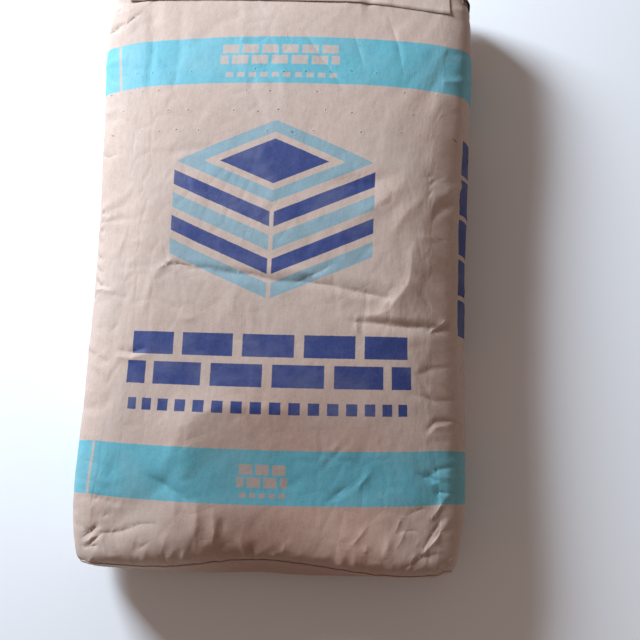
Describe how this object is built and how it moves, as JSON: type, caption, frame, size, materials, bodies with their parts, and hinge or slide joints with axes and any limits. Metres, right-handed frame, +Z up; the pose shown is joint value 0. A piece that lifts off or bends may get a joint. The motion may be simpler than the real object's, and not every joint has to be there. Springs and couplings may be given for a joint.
{
  "type": "cement bag",
  "caption": "Filled block-end paper valve sack of cement lying flat, with pasted cover sheets on its folded ends and the end of its valve sleeve turned down at one corner.",
  "frame": {"origin": "centre of the sack's footprint, on the floor it lies on", "axes": "+X to the right of the printed front panel, +Y along the sack towards the valve end, +Z up out of the printed front panel"},
  "size_m": [0.381, 0.602, 0.104],
  "materials": {
    "kraft_paper": "matte",
    "cover_paper": "matte",
    "sleeve_paper": "matte"
  },
  "bodies": {
    "root": {"sack": "kraft_paper", "top_cover_sheet": "cover_paper", "foot_cover_sheet": "cover_paper", "valve_sleeve": "sleeve_paper"}
  },
  "joints": []
}
